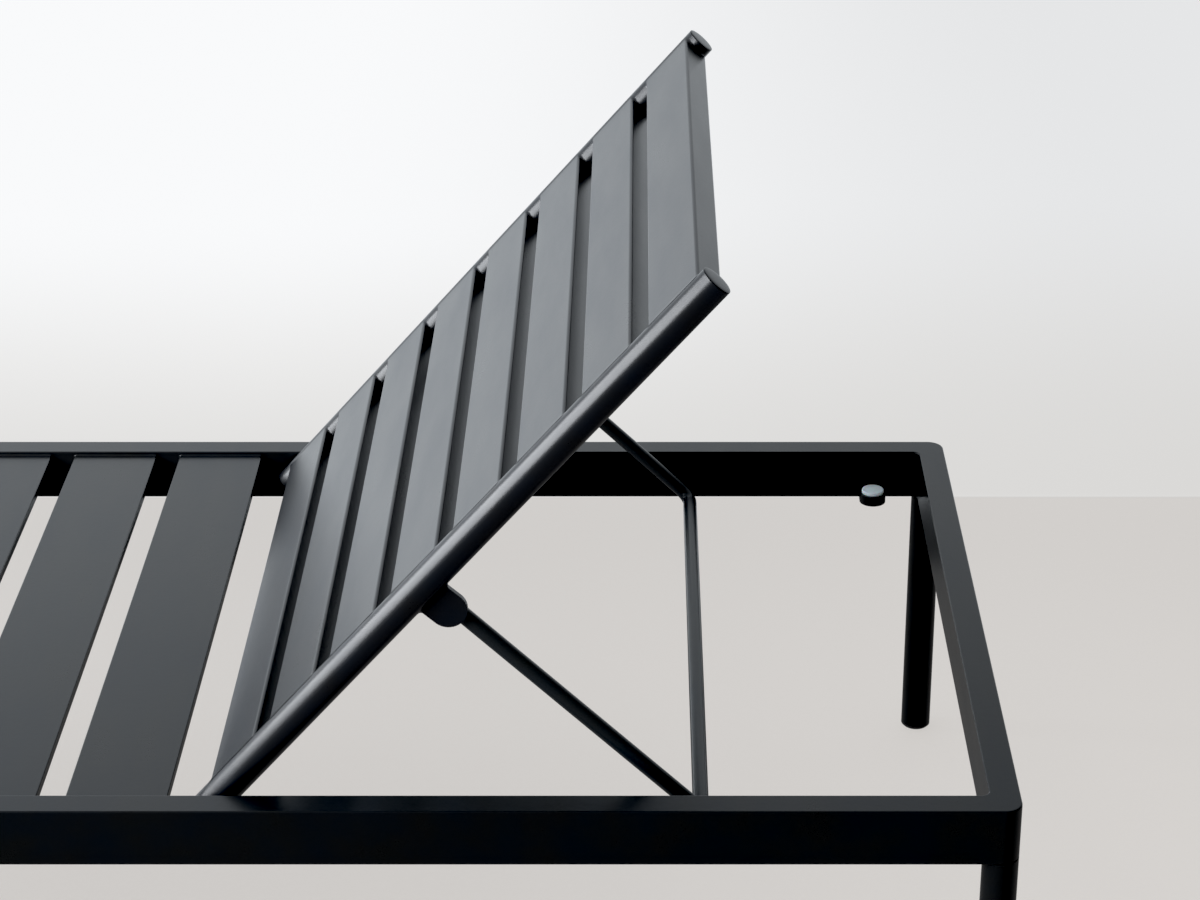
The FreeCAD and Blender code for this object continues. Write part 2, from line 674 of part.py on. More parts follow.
# ----------------------------------------------------------------------------------------------
# Back
# ----------------------------------------------------------------------------------------------
def back_tube(name, sign):
    body = new_body("back_tube_" + name)
    section = new_sketch(body, "YZ_Plane", "section")
    circle(section, "0", "0", "tube_radius")
    circle(section, "0", "0", "tube_bore / 2")
    pad(body, section, "tube_long", middle=False)
    cross = new_sketch(body, "XZ_Plane", "bush_hole")
    circle(cross, "tube_tail - cap_thick", "0", "bush_size / 2")
    pocket(body, cross)
    place_on_back(body, "cap_thick - tube_tail", "%s * tube_plane" % sign)
    keep(body)


def tube_caps():
    """Four plastic end caps, each a thin disc and a plug."""
    caps = []
    for name, sign, _turn in SIDES:
        for end, along, turn, plug in (
                ("upper", "tube_reach - cap_thick", "recline", "-cap_plug"),
                ("lower", "cap_thick - tube_tail", "recline + 180",
                 "cap_thick - tube_tail + bush_size / 2 + cap_to_bush")):
            cap = turned("cap_%s_%s" % (end, name), [
                (plug, "0"), (plug, "tube_bore / 2 - plug_gap"),
                ("0", "tube_bore / 2 - plug_gap"), ("0", "tube_radius"),
                ("cap_thick - cap_edge", "tube_radius"), ("cap_thick", "tube_radius - cap_edge"),
                ("cap_thick", "0")])
            place_on_back(cap, along, "%s * tube_plane" % sign)
            bind(cap, "Placement.Rotation.Angle", turn)
            caps.append(cap)
    doc.recompute()
    keep_group("back_tube_caps", caps)


def back_slat(number):
    """Deep hollow slat with ends coped to fit round the back tubes."""
    body = new_body("back_slat_%d" % number)
    section = new_sketch(body, "XZ_Plane", "section")
    rounded_box(section, "slat_middle", "back_slat_width", "back_slat_depth", "back_slat_edge")
    rounded_box(section, "slat_middle", "back_slat_width - 2 * back_slat_wall",
                "back_slat_depth - 2 * back_slat_wall", "back_slat_edge / 2")
    pad(body, section, "back_slat_long")
    copes = new_sketch(body, "YZ_Plane", "copes")
    for _name, sign, _turn in SIDES:
        circle(copes, "%s * tube_plane" % sign, "0", "tube_radius + weld_gap")
    pocket(body, copes)
    place_on_back(body, "back_slat_first + back_slat_width / 2 + %d * back_pitch" % (number - 1))
    keep(body)


def prop_ear(name, sign):
    """Plate welded under a back tube, with the hole for the prop's pin."""
    body = new_body("prop_ear_" + name)
    outline = new_sketch(body, "XZ_Plane", "outline")
    notch(outline, "ear_along", "-ear_drop", "0", "ear_round")
    pad(body, outline, "ear_thick")
    cope = new_sketch(body, "YZ_Plane", "cope")
    circle(cope, "0", "0", "tube_radius + weld_gap")
    pocket(body, cope)
    hole = new_sketch(body, "XZ_Plane", "pin_hole")
    circle(hole, "ear_along", "-ear_drop", "pivot_size / 2")
    pocket(body, hole)
    place_on_back(body, "0", "%s * tube_plane" % sign)
    keep(body)


def prop_pin(name, turn):
    """Pin flush with the ear's outer face; its head is on the inner side of the bail arm."""
    outer = "tube_plane + ear_thick / 2"
    under_head = "arm_plane - rod_radius - thrust_play"
    crown = "%s - pin_head_high" % under_head
    body = turned("prop_pin_" + name, [
        (crown, "0"), (crown, "pin_head * 0.35"), (under_head, "pin_head / 2"),
        (under_head, "pivot_size / 2"), (outer, "pivot_size / 2"), (outer, "0")])
    place(body, "pin_x", "0", "pin_z", angle=turn)
    keep(body)


# ----------------------------------------------------------------------------------------------
# Prop
# ----------------------------------------------------------------------------------------------
def bail_path(sketch):
    """Arm, bend, crossbar, bend, arm: a U lying in the sketch, open towards the pins."""
    far, side, bend = value("arm_length"), value("arm_plane"), value("rod_bend")
    back = -value("rod_radius")
    points = [V(back, -side, 0), V(far - bend, -side, 0), V(far, bend - side, 0),
              V(far, side - bend, 0), V(far - bend, side, 0), V(back, side, 0)]
    low = Part.Circle(V(far - bend, bend - side, 0), V(0, 0, 1), bend)
    high = Part.Circle(V(far - bend, side - bend, 0), V(0, 0, 1), bend)
    for shape in (Part.LineSegment(points[0], points[1]),
                  Part.ArcOfCircle(low, -math.pi / 2, 0),
                  Part.LineSegment(points[2], points[3]),
                  Part.ArcOfCircle(high, 0, math.pi / 2),
                  Part.LineSegment(points[4], points[5])):
        sketch.addGeometry(shape)
    add = sketch.addConstraint
    for k in range(4):
        add(Sketcher.Constraint("Tangent", k, 2, k + 1, 1))
    add(Sketcher.Constraint("Horizontal", 0))
    add(Sketcher.Constraint("Vertical", 2))
    add(Sketcher.Constraint("Horizontal", 4))
    add(Sketcher.Constraint("Equal", 1, 3))
    dimension(sketch, "Radius", "rod_bend", 1)
    locate(sketch, 0, 1, "-rod_radius", "-arm_plane")
    locate(sketch, 4, 2, "-rod_radius", "arm_plane")
    dimension(sketch, "DistanceX", "arm_length", -1, 1, 2, 1)


def prop_bail():
    """Bent rod: two arms with round ends and the crossbar between them."""
    body = new_body("prop_bail")
    path = new_sketch(body, "XY_Plane", "path")
    bail_path(path)
    section = new_sketch(body, "YZ_Plane", "section", "-rod_radius")
    circle(section, "-arm_plane", "0", "rod_radius")
    doc.recompute()
    rod = body.newObject("PartDesign::AdditivePipe", "prop_bail_rod")
    rod.Profile = section
    rod.Spine = (path, ["Edge%d" % (k + 1) for k in range(5)])
    doc.recompute()
    end = -value("rod_radius")
    tip = fillet(body, rod, "rod_radius - 0.15",
                 lambda e: all(abs(v.X - end) < 1e-4 for v in e.Vertexes))
    body.Tip = tip
    pins = new_sketch(body, "XZ_Plane", "pin_hole")
    circle(pins, "0", "0", "pivot_size / 2 + pivot_play")
    pocket(body, pins)
    for name, sign, _turn in SIDES:
        start = "-(%s * (arm_plane - catch_depth))" % sign
        bore = new_sketch(body, "XZ_Plane", "catch_bore_" + name, start)
        circle(bore, "arm_length", "0", "catch_size / 2")
        pocket(body, bore, "rod_size + catch_depth", towards_plus=(sign == "-1"))
    place(body, "pin_x", "0", "pin_z", (0, 1, 0), "bail_angle")
    keep(body)


def catch_pins():
    """Short pins in the ends of the crossbar, which lie in the racks' notches."""
    pins = []
    bar_x = "pin_x + arm_length * cos(bail_angle)"
    for name, _sign, turn in SIDES:
        start = "arm_plane - catch_depth"
        pin = turned("catch_pin_" + name, [
            (start, "0"), (start, "catch_size / 2"), ("catch_end", "catch_size / 2"),
            ("catch_end", "0")])
        place(pin, bar_x, "0", "bar_z", angle=turn)
        pins.append(pin)
    keep_group("catch_pins", pins)


# ----------------------------------------------------------------------------------------------
# Build, check and write
# ----------------------------------------------------------------------------------------------
def build():
    fill_sheet()
    for name, sign, turn in SIDES:
        side_rail(name, sign)
        prop_rack(name, sign)
        rest_tab(name, sign)
        rest_pad(name, sign)
        back_tube(name, sign)
        prop_ear(name, sign)
        prop_pin(name, turn)
    end_rail("head", "1")
    end_rail("foot", "-1")
    for name, turn, x_sign, y_sign in (("head_right", "180", "1", "1"),
                                       ("head_left", "90", "1", "-1"),
                                       ("foot_left", "0", "-1", "-1"),
                                       ("foot_right", "270", "-1", "1")):
        corner(name, turn, x_sign, y_sign)
        leg(name, x_sign, y_sign)
        foot_glide(name, x_sign, y_sign)
    for number in range(1, SEAT_SLATS + 1):
        seat_slat(number)
    for number in range(1, BACK_SLATS + 1):
        back_slat(number)
    rivets()
    hinge()
    hinge_bushes()
    tube_caps()
    prop_bail()
    catch_pins()
    doc.recompute()


def check():
    """Stop if any object failed or any sub-part is not a sound solid."""
    for item in doc.Objects:
        if "Invalid" in item.State or "Error" in item.State:
            raise RuntimeError("failed object: " + item.Name)
    for part in PARTS:
        shape = part.Shape
        if shape.isNull() or not shape.isValid() or not shape.Solids:
            raise RuntimeError("unsound shape: " + part.Label)


def write():
    os.makedirs("parts", exist_ok=True)
    for part in PARTS:
        part.Shape.exportStep(os.path.join("parts", part.Label + ".step"))
        box = part.Shape.BoundBox
        print("%-24s %2d solids %10.0f mm3  X %8.1f %8.1f  Y %7.1f %7.1f  Z %6.1f %6.1f" % (
            part.Label, len(part.Shape.Solids), part.Shape.Volume,
            box.XMin, box.XMax, box.YMin, box.YMax, box.ZMin, box.ZMax))
    print(len(PARTS), "sub-parts")


build()
check()
write()
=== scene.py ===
"""Looks of a reclining sun lounger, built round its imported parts.

Lengths are in metres. +X points to the head end, +Z up, and the left side is -Y. The frame
stands on the floor, the backrest turns on the frame, and the prop hangs from the backrest.
"""

import json
import math

import bmesh
import bpy
import numpy as np
from bpy.props import FloatProperty, FloatVectorProperty, IntProperty, PointerProperty
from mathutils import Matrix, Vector


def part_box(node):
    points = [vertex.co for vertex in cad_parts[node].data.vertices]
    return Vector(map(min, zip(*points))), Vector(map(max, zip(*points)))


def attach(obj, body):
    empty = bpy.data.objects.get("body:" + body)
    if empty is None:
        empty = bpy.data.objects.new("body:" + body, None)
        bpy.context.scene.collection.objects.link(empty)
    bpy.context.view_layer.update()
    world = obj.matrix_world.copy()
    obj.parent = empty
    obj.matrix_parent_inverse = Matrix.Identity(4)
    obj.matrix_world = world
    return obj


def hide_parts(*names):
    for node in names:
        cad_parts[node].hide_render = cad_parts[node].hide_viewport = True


bl_info = {
    "name": "Reclining sun lounger",
    "version": (1, 0, 0),
    "blender": (4, 5, 0),
    "location": "3D View > Sidebar > Lounger",
    "description": "Finishes, welds, caps, screws and pads of a slatted sun lounger",
    "category": "Object",
}

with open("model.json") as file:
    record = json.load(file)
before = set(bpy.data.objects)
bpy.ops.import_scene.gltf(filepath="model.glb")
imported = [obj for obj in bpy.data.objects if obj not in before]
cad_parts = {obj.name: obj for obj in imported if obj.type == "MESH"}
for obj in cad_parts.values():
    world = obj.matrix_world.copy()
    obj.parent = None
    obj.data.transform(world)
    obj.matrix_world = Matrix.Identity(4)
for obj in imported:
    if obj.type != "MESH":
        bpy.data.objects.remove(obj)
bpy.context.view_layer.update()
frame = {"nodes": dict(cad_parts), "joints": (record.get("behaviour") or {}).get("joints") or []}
NODES = frame["nodes"]
HINGE = next(j for j in frame["joints"] if j["name"] == "back_hinge")
RECLINE = -math.radians(HINGE["range_deg"][0])
SIDES = (("left", -1.0), ("right", 1.0))
MM = 0.001

# Edges that the welds follow: outer corner radii of the tubes and of the ears' section
SEAT_CORNER = 1 * MM
BACK_CORNER = 2.5 * MM
EAR_CORNER = 0.6 * MM

# Directions of the raised back: along it, across to the right, and out of its front
BACK_AXES = np.array([
    [math.cos(RECLINE), 0, math.sin(RECLINE)],
    [0, 1, 0],
    [-math.sin(RECLINE), 0, math.cos(RECLINE)],
])
HINGE_POINT = np.array(HINGE["pos_m"], float)


def nodes_like(*starts):
    """CAD nodes whose names begin with one of these words."""
    return [NODES[n] for n in sorted(NODES) if n.startswith(starts)]


def from_back(points):
    """Points given as along, across and out of the back, from the hinge, put in the row frame."""
    return points @ BACK_AXES + HINGE_POINT


def extent_on_back(node):
    """Lowest and highest distances of a CAD node's points along, across and out of the back."""
    points = np.array([v.co for v in NODES[node].data.vertices], float)
    placed = (points - HINGE_POINT) @ BACK_AXES.T
    return placed.min(0), placed.max(0)


# ----------------------------------------------------------------------------------------------
# Sizes and colours that can be changed
# ----------------------------------------------------------------------------------------------
def length(name, text, default):
    """A length property in metres."""
    return FloatProperty(name=name, description=text, default=default, min=0.0, unit="LENGTH",
                         subtype="DISTANCE", precision=5)


def share(name, text, default):
    """A property from 0 to 1."""
    return FloatProperty(name=name, description=text, default=default, min=0.0, max=1.0,
                         subtype="FACTOR")


def colour(name, text, default):
    """A colour property, in linear light."""
    return FloatVectorProperty(name=name, description=text, default=default, size=3, min=0.0,
                               max=1.0, subtype="COLOR")


class LoungerCoat(bpy.types.PropertyGroup):
    """Charcoal powder coat of the metal; the back's and the prop's colours are lighter copies of
    the frame's, painted light.
    """

    frame_colour: colour("Frame", "Coat of the frame and the seat", (0.0106, 0.0112, 0.0116))
    # The back's colour is a lighter, bluer copy of the frame's charcoal: painted sheen for the
    # bright reflection the back catches.
    back_lit_colour: colour("Back", "Coat of the back's tubes and slats", (0.0120, 0.0127, 0.0142))
    # The prop's colour is about twice the frame's charcoal: painted light on the rod's lit upper
    # side.
    prop_lit_colour: colour("Prop", "Coat of the bent rod", (0.0220, 0.0240, 0.0245))
    frame_gloss: FloatProperty(name="Frame gloss", default=1.41, min=1.0,
                               description="Refractive index of the frame's coat")
    back_gloss: FloatProperty(name="Back gloss", default=1.48, min=1.0,
                              description="Refractive index of the back's coat")
    cool_tint: colour("Cool cast", "What the coat drifts to in wide soft patches",
                      (0.80, 0.92, 1.12))
    roughness: share("Roughness", "Mean roughness of the satin coat", 0.30)
    grain: length("Grain", "Size of the coat's fine grain", 0.0009)
    grain_depth: length("Grain depth", "Height of the fine grain", 0.000012)
    peel: length("Peel", "Width of the coat's slow waves", 0.0055)
    peel_depth: length("Peel depth", "Height of the slow waves", 0.00003)
    patch: length("Patch", "Width of the patches where the film is thicker", 0.13)


class LoungerWelds(bpy.types.PropertyGroup):
    """Dressed fillet welds under the coat."""

    back_width: length("Back welds", "Leg of the fillets at the back slats", 0.0026)
    seat_width: length("Seat welds", "Leg of the fillets at the seat slats", 0.0022)
    leg_width: length("Leg welds", "Leg of the fillets on top of the legs", 0.0024)
    ear_width: length("Ear welds", "Leg of the fillets where the ears meet the tubes", 0.0042)
    ripple: share("Ripple", "How much the width waves along a weld", 0.12)
    ripple_pitch: length("Ripple pitch", "Distance from one ripple to the next", 0.0032)


class LoungerFittings(bpy.types.PropertyGroup):
    """Plastic, rubber and steel pieces."""

    plastic_colour: colour("Plastic", "Glides, caps, spacers and bushes", (0.022, 0.023, 0.025))
    rubber_colour: colour("Rubber", "Pads that the lowered back rests on", (0.74, 0.86, 0.93))
    steel_colour: colour("Steel", "Screws, washers, pins and rivets", (0.60, 0.60, 0.59))
    socket_width: length("Socket", "Width of the six-sided socket, flat to flat", 0.004)
    socket_depth: length("Socket depth", "Depth of the six-sided socket", 0.002)
    facets: IntProperty(name="Facets", description="Faces round a turned piece", default=60,
                        min=12)


class LoungerStage(bpy.types.PropertyGroup):
    """Floor, light and camera."""

    floor_colour: colour("Floor", "Near part of the floor", (0.630, 0.606, 0.584))
    far_colour: colour("Far floor", "Floor behind the seam", (0.680, 0.672, 0.660))
    floor_matt: share("Floor matt", "Share of the floor's colour that scatters light", 0.22)
    floor_glow: FloatProperty(name="Floor glow", default=0.88, min=0.0,
                              description="Radiance of the floor in its own colour")
    seam_place: length("Seam", "Distance from the middle of the lounger to the floor's seam", 0.88)
    card_strength: FloatProperty(name="Bright card", default=1.48, min=0.0,
                                 description="Radiance of the white card across its middle")
    card_fall: FloatVectorProperty(name="Card fall", default=(0.42, 0.45), size=2,
                                   description="Loss for each metre to the head end and upwards")
    top_power: FloatProperty(name="Top light", description="Power of the large soft light above",
                             default=5.0, min=0.0, unit="POWER")
    window_power: FloatProperty(name="Window light", default=215.0, min=0.0, unit="POWER",
                                description="Power of the soft light beyond the foot end")
    room_colour: colour("Room", "Tint of the dim light from all round", (1.0, 0.98, 0.96))
    room_strength: FloatProperty(name="Room light", default=0.2, min=0.0,
                                 description="Radiance of the dim light from all round")
    black_level: FloatProperty(name="Black level", default=0.0145, min=0.0, precision=4,
                               description="Radiance that shows as black")
    lens: FloatProperty(name="Lens", description="Focal length of the camera", default=85.9,
                        min=10.0, unit="CAMERA", subtype="DISTANCE_CAMERA")
    shift: FloatProperty(name="Shift", default=-0.0326, precision=4,
                         description="Sideways shift of the picture, in picture widths")
    pitch: FloatProperty(name="Pitch", description="How far the camera looks down",
                         default=math.radians(25.318), subtype="ANGLE", unit="ROTATION")
    camera_place: FloatVectorProperty(name="Camera", description="Where the camera stands", size=3,
                                      default=(0.6903, -2.3037, 1.5707), subtype="XYZ",
                                      unit="LENGTH")


# ----------------------------------------------------------------------------------------------
# Shader maths
# ----------------------------------------------------------------------------------------------
class Wire:
    """One output of a material's nodes. Arithmetic on wires and numbers adds Math nodes."""

    def __init__(self, tree, socket=None):
        self.tree = tree
        self.socket = socket

    def node(self, kind, settings=None, inputs=None, output=0):
        """Adds a node of any kind: its settings first, then its inputs' values and links."""
        made = self.tree.nodes.new(kind)
        for name, given in (settings or {}).items():
            setattr(made, name, given)
        for name, given in (inputs or {}).items():
            if isinstance(given, Wire):
                self.tree.links.new(given.socket, made.inputs[name])
            else:
                made.inputs[name].default_value = given
        return Wire(self.tree, made.outputs[output] if len(made.outputs) else None)

    def math(self, operation, first, second):
        """A Math node of two values."""
        return self.node("ShaderNodeMath", {"operation": operation}, {0: first, 1: second})

    def __add__(self, other):
        return self.math("ADD", self, other)

    __radd__ = __add__

    def __sub__(self, other):
        return self.math("SUBTRACT", self, other)

    def __rsub__(self, other):
        return self.math("SUBTRACT", other, self)

    def __mul__(self, other):
        return self.math("MULTIPLY", self, other)

    __rmul__ = __mul__


def new_material(name):
    """An empty node material: itself, a Wire to add nodes with, and its Object coordinates."""
    made = bpy.data.materials.new(name)
    made.use_nodes = True
    made.node_tree.nodes.clear()
    start = Wire(made.node_tree)
    place = start.node("ShaderNodeTexCoord", output="Object")
    return made, start, place


def surface(made, start, settings):
    """Ends a material in a Principled shader with these inputs."""
    shader = start.node("ShaderNodeBsdfPrincipled", inputs=settings)
    start.node("ShaderNodeOutputMaterial", inputs={"Surface": shader})
    return made


def noise(place, size, detail=2.0, rough=0.5, stretch=(1, 1, 1)):
    """Noise whose patches are about this size across, from 0 to 1."""
    moved = place.node("ShaderNodeMapping", inputs={"Vector": place, "Scale": stretch})
    return place.node("ShaderNodeTexNoise", inputs={
        "Vector": moved, "Scale": 1.0 / size, "Detail": detail, "Roughness": rough})


def spread(value, low, high):
    """A value from 0 to 1 taken from low to high, as an expression."""
    return value * (high - low) + low


def between(value, low, high):
    """0 up to low, 1 from high on, and a straight line between them."""
    return value.node("ShaderNodeMapRange", inputs={
        "Value": value, "From Min": low, "From Max": high})


def eased(value, low, high, first=0.0, last=1.0):
    """First up to low, last from high on, and a smooth step between them."""
    return value.node("ShaderNodeMapRange", {"interpolation_type": "SMOOTHSTEP"}, {
        "Value": value, "From Min": low, "From Max": high, "To Min": first, "To Max": last})


def ordinate(place, axis):
    """One coordinate of a point: 0 along the lounger, 1 across it, 2 up."""
    return place.node("ShaderNodeSeparateXYZ", inputs={"Vector": place}, output=axis)


def tinted(value, base, tint):
    """The base colour at 0 and the base times the tint at 1."""
    second = tuple(b * t for b, t in zip(base, tint))
    return value.node("ShaderNodeMix", {"data_type": "RGBA"},
                      {"Factor": value, "A": (*base, 1), "B": (*second, 1)}, output=2)


def scaled(tint, amount):
    """A colour times a value."""
    return tint.node("ShaderNodeVectorMath", {"operation": "SCALE"}, {0: tint, "Scale": amount})


def bumped(start, height, distance, under=None):
    """A Bump node for this height, on top of an earlier one."""
    inputs = {"Height": height, "Distance": distance, "Strength": 1.0}
    if under is not None:
        inputs["Normal"] = under
    return start.node("ShaderNodeBump", inputs=inputs)


def powder_coat(name, coat, base, gloss, shift):
    """Satin powder coat: slow waves, fine grain, patches of thicker film and faint wipes.

    The shift moves the patterns, so that no two coats share them.
    """
    made, start, place = new_material(name)
    place = start.node("ShaderNodeMapping", inputs={
        "Vector": place, "Location": (shift, shift, 0)})
    film = noise(place, coat.patch, 3.0)
    grain = noise(place, coat.grain, 1.0)
    peel = noise(place, coat.peel, 1.0)
    wipe_size, wipe_stretch = coat.patch * 0.3, (1.0, 0.25, 1.0)
    cast_start, cast_end = 0.35, 0.7
    wipes = noise(place, wipe_size, 4.0, 0.6, wipe_stretch)
    tone = spread(film, 0.90, 1.10) * spread(grain, 0.88, 1.12)
    cast = between(wipes, cast_start, cast_end)
    height = bumped(start, peel, coat.peel_depth)
    height = bumped(start, grain, coat.grain_depth, height)
    rough = coat.roughness + spread(wipes, -0.05, 0.05) + spread(grain, -0.03, 0.03)
    return surface(made, start, {
        "Base Color": scaled(tinted(cast, base, coat.cool_tint), tone), "Roughness": rough,
        "IOR": gloss, "Normal": height})


def moulded_plastic(name, base):
    """Matt moulded plastic: eroded grain, faint flow lines and a little dust in the grain."""
    grain_size, grain_height, flow_size = 0.45 * MM, 0.02 * MM, 6 * MM
    flow_stretch, dust_tint = (1, 1, 0.2), (1.15, 1.12, 1.08)
    made, start, place = new_material(name)
    grain = noise(place, grain_size, 2.0)
    flow = noise(place, flow_size, 3.0, 0.6, flow_stretch)
    tone = spread(grain, 0.75, 1.25) * spread(flow, 0.9, 1.1)
    flat = tinted(flow, base, dust_tint)
    height = bumped(start, grain, grain_height)
    return surface(made, start, {
        "Base Color": scaled(flat, tone), "Roughness": spread(flow, 0.46, 0.58), "IOR": 1.46,
        "Normal": height})


def soft_rubber(name, base):
    """Translucent grey rubber: milky depth, a silky face and specks of dust."""
    cloud_size, cloud_height, speck_size, depth = 4 * MM, 0.04 * MM, 0.6 * MM, 4 * MM
    warm_tint, dust_start, dust_end = (1.05, 1.03, 0.98), 0.66, 0.75
    made, start, place = new_material(name)
    cloud = noise(place, cloud_size, 3.0)
    speck = noise(place, speck_size, 1.0)
    dust = between(speck, dust_start, dust_end)
    tone = spread(cloud, 0.92, 1.06) + dust * 0.12
    height = bumped(start, cloud, cloud_height)
    return surface(made, start, {
        "Base Color": scaled(tinted(cloud, base, warm_tint), tone),
        "Roughness": spread(cloud, 0.38, 0.5) + dust * 0.15, "IOR": 1.43,
        "Subsurface Weight": 0.25, "Subsurface Scale": depth, "Normal": height})


def turned_steel(name, base):
    """Stainless steel with turning marks that run round pins lying across the lounger."""
    mark_size, mark_height, mark_stretch = 2 * MM, 0.01 * MM, (1, 9, 1)
    grain_size, stain_size, stain_tint = 0.3 * MM, 12 * MM, (1.02, 1.0, 0.95)
    made, start, place = new_material(name)
    marks = noise(place, mark_size, 3.0, 0.7, mark_stretch)
    grain = noise(place, grain_size, 1.0)
    stain = noise(place, stain_size, 2.0)
    tone = spread(marks, 0.82, 1.1) * spread(stain, 0.9, 1.05)
    height = bumped(start, marks * 0.7 + grain * 0.3, mark_height)
    return surface(made, start, {
        "Base Color": scaled(tinted(stain, base, stain_tint), tone), "Metallic": 1.0,
        "Roughness": spread(marks, 0.2, 0.38), "Normal": height})


# ----------------------------------------------------------------------------------------------
# Surfaces
# ----------------------------------------------------------------------------------------------
def quads(count, rows, columns, rows_loop, columns_loop):
    """Corner numbers of the faces of grids of points that are stored one after another."""
    grid, row, column = np.meshgrid(
        np.arange(count), np.arange(rows if rows_loop else rows - 1),
        np.arange(columns if columns_loop else columns - 1), indexing="ij")

    def at(i, j):
        return (grid * rows + i % rows) * columns + j % columns

    corners = [at(row, column), at(row + 1, column), at(row + 1, column + 1), at(row, column + 1)]
    return np.stack(corners, -1).reshape(-1, 4)


def piece(name, grids, body, finish, rows_loop=False, sharp=40.0):
    """One object from grids of points (count, rows, columns, 3), poles merged, faces outwards.

    The columns always run round; an edge sharper than so many degrees stays crisp.
    """
    merge = 0.002 * MM
    grids = np.asarray(grids, float)
    count, rows, columns = grids.shape[:3]
    mesh = bpy.data.meshes.new(name)
    faces = quads(count, rows, columns, rows_loop, True)
    mesh.from_pydata(grids.reshape(-1, 3), [], faces)
    work = bmesh.new()
    work.from_mesh(mesh)
    bmesh.ops.remove_doubles(work, verts=work.verts, dist=merge)
    bmesh.ops.recalc_face_normals(work, faces=work.faces)
    work.to_mesh(mesh)
    work.free()
    mesh.validate()
    mesh.shade_smooth()
    mesh.set_sharp_from_angle(angle=math.radians(sharp))
    mesh.materials.append(finish)
    made = bpy.data.objects.new(name, mesh)
    bpy.context.scene.collection.objects.link(made)
    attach(made, body)
    return made


def fillet(joint, on_first, on_second, width, steps=7):
    """Closed skin of a fillet weld along a joint, as a grid of sections.

    Each section leaves the first metal at A = P + w a, follows the parabola
    (1-v)^2 A + 2 v (1-v) P + v^2 B to B = P + w b on the second metal, and comes back by a root
    point inside the joint. P is the joint's point, and a and b lie in the two surfaces.
    """
    root_share = 0.25
    width = np.asarray(width)[..., None]
    first = joint + width * on_first
    second = joint + width * on_second
    v = np.linspace(0, 1, steps)[:, None]
    arc = ((1 - v) ** 2 * first[..., None, :] + 2 * v * (1 - v) * joint[..., None, :]
           + v ** 2 * second[..., None, :])
    root = joint - root_share * width * (on_first + on_second)
    return np.concatenate([arc, root[..., None, :]], -2)


def rippled(run, welds, width):
    """Width of a weld at each distance along it: w (1 + ripple (0.6 wave + 0.4 slow wave))."""
    slowness, lag, wave_share = 7.3, 1.0, 0.6
    wave = np.sin(2 * np.pi * run / welds.ripple_pitch)
    slow = np.sin(2 * np.pi * run / (welds.ripple_pitch * slowness) + lag)
    return width * (1 + welds.ripple * (wave_share * wave + (1 - wave_share) * slow))


def turned(radius, height, centre, axis, facets):
    """Surface of revolution: a row's radius r(v, angle) is turned round the axis at h(v)."""
    axis = np.array(axis, float) / np.linalg.norm(axis)
    side = np.cross(axis, [0, 0, 1] if abs(axis[2]) < 0.9 else [1, 0, 0])
    side /= np.linalg.norm(side)
    up = np.cross(axis, side)
    angle = np.arange(facets) * 2 * np.pi / facets
    ring = np.cos(angle)[:, None] * side + np.sin(angle)[:, None] * up
    radius = np.broadcast_to(np.asarray(radius, float).reshape(len(height), -1),
                             (len(height), facets))
    return (np.asarray(centre, float) + radius[..., None] * ring
            + np.asarray(height, float)[:, None, None] * axis)


def rounded_outline(low, high, radius, count):
    """Closed outline of a rounded rectangle, its outward normals and the distance run along it.

    The outline is the inner rectangle pushed out by the radius: straight sides, and quarter
    circles round each inner corner, stepped evenly by length.
    """
    per_corner = 9
    low, high = np.array(low, float) + radius, np.array(high, float) - radius
    turn = np.radians(np.concatenate([
        np.linspace(90 * k, 90 * k + 90, per_corner) for k in range(4)]))
    corner = np.repeat(np.array([[high[0], high[1]], [low[0], high[1]], [low[0], low[1]],
                                 [high[0], low[1]]]), per_corner, 0)
    normals = np.stack([np.cos(turn), np.sin(turn)], -1)
    points = corner + radius * normals
    points = np.vstack([points, points[:1]])
    normals = np.vstack([normals, normals[:1]])
    run = np.concatenate([[0], np.cumsum(np.linalg.norm(np.diff(points, axis=0), axis=1))])
    even = np.linspace(0, run[-1], count, endpoint=False)
    at = np.stack([np.interp(even, run, points[:, k]) for k in range(2)], -1)
    out = np.stack([np.interp(even, run, normals[:, k]) for k in range(2)], -1)
    return at, out / np.linalg.norm(out, axis=1)[:, None], even


def give(objects, finish):
    """Puts a material in every slot of these CAD nodes."""
    for one in objects:
        one.data.materials.clear()
        one.data.materials.append(finish)


FINISHES = {}


def finish_of(name, scene):
    """The material of a finish, made once."""
    if name not in FINISHES:
        coat, fittings = scene.lounger_coat, scene.lounger_fittings
        maker, *given = {
            "frame_powder_coat": (powder_coat, coat, coat.frame_colour, coat.frame_gloss, 0.0),
            # the back's coat is a lighter, bluer copy of the frame's charcoal: painted sheen
            "back_powder_coat": (powder_coat, coat, coat.back_lit_colour, coat.back_gloss, 3.1),
            # the prop's coat is a lighter copy of the frame's charcoal: painted light
            "bail_powder_coat": (powder_coat, coat, coat.prop_lit_colour, coat.frame_gloss, 7.4),
            "black_plastic": (moulded_plastic, fittings.plastic_colour),
            "pad_rubber": (soft_rubber, fittings.rubber_colour),
            "stainless_steel": (turned_steel, fittings.steel_colour),
        }[name]
        FINISHES[name] = maker(name, *given)
    return FINISHES[name]


